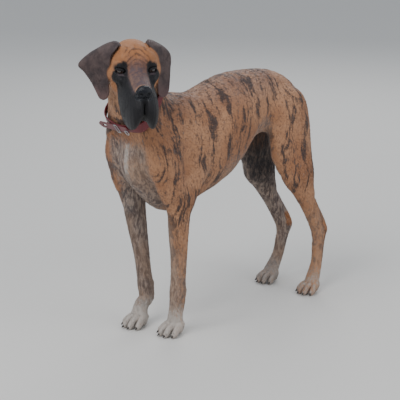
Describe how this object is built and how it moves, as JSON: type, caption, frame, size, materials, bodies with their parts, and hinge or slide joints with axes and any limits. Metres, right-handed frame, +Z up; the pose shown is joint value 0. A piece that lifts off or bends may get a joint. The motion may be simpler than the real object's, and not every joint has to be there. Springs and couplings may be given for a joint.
{
  "type": "great dane figure",
  "caption": "Standing short-haired giant dog with folded ears, deep muzzle and a buckled leather collar, head turned to its left, life size.",
  "frame": {"origin": "floor under the middle of the bounding box", "axes": "+Z up, the dog faces -Y with its body, and its left side is +X"},
  "size_m": [0.4296, 1.0558, 1.0199],
  "materials": {
    "mask": "short fur, black mask, golden forehead, glossy nose",
    "eye": "wet glossy dark brown eyeball",
    "ear": "very short velvety dark grey-brown fur",
    "coat": "short golden fur with dark brindle stripes",
    "paw": "short pale fur over toes",
    "claw": "dark horn",
    "leg": "short brindle fur",
    "collar_leather": "burgundy leather strap, semi-gloss",
    "collar_metal": "plated steel"
  },
  "bodies": {
    "root": {"head": "mask", "eye_left": "eye", "ear_left": "ear", "eye_right": "eye", "ear_right": "ear", "neck": "coat", "chest": "coat", "loin": "coat", "forepaw_left": "paw", "claw_fore_left_1": "claw", "claw_fore_left_2": "claw", "claw_fore_left_3": "claw", "claw_fore_left_4": "claw", "foreleg_left": "leg", "forepaw_right": "paw", "claw_fore_right_1": "claw", "claw_fore_right_2": "claw", "claw_fore_right_3": "claw", "claw_fore_right_4": "claw", "foreleg_right": "leg", "hindpaw_left": "paw", "claw_hind_left_1": "claw", "claw_hind_left_2": "claw", "claw_hind_left_3": "claw", "claw_hind_left_4": "claw", "thigh_left": "coat", "shank_left": "leg", "hindpaw_right": "paw", "claw_hind_right_1": "claw", "claw_hind_right_2": "claw", "claw_hind_right_3": "claw", "claw_hind_right_4": "claw", "thigh_right": "coat", "shank_right": "leg", "tail": "coat", "collar_strap": "collar_leather", "collar_tongue": "collar_leather", "collar_buckle": "collar_metal", "collar_ring": "collar_metal"}
  },
  "joints": []
}
